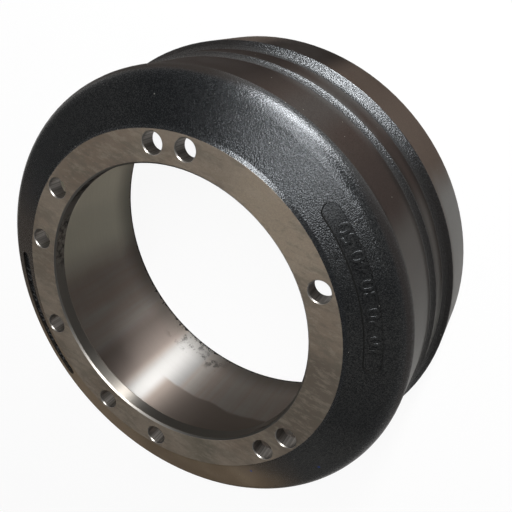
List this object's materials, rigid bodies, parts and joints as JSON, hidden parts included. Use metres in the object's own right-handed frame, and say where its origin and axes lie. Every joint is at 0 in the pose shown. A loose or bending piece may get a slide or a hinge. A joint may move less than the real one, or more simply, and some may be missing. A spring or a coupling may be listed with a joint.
{
  "type": "brake drum",
  "caption": "Heavy truck brake drum: a cast iron ring with a stepped wall, a sloping shoulder, a wide pilot bore, stud holes in two patterns and a turned brake surface inside.",
  "frame": {"origin": "on the axle line in the plane of the open end, which the drum stands on", "axes": "+Z along the axle from the open end to the mounting face, +X through the stud hole that both hole patterns share"},
  "size_m": [0.4858, 0.4856, 0.2084],
  "materials": {
    "grey_iron": "black paint outside, turned iron with light rust inside"
  },
  "bodies": {
    "root": {"brake_drum": "grey_iron"}
  },
  "joints": []
}
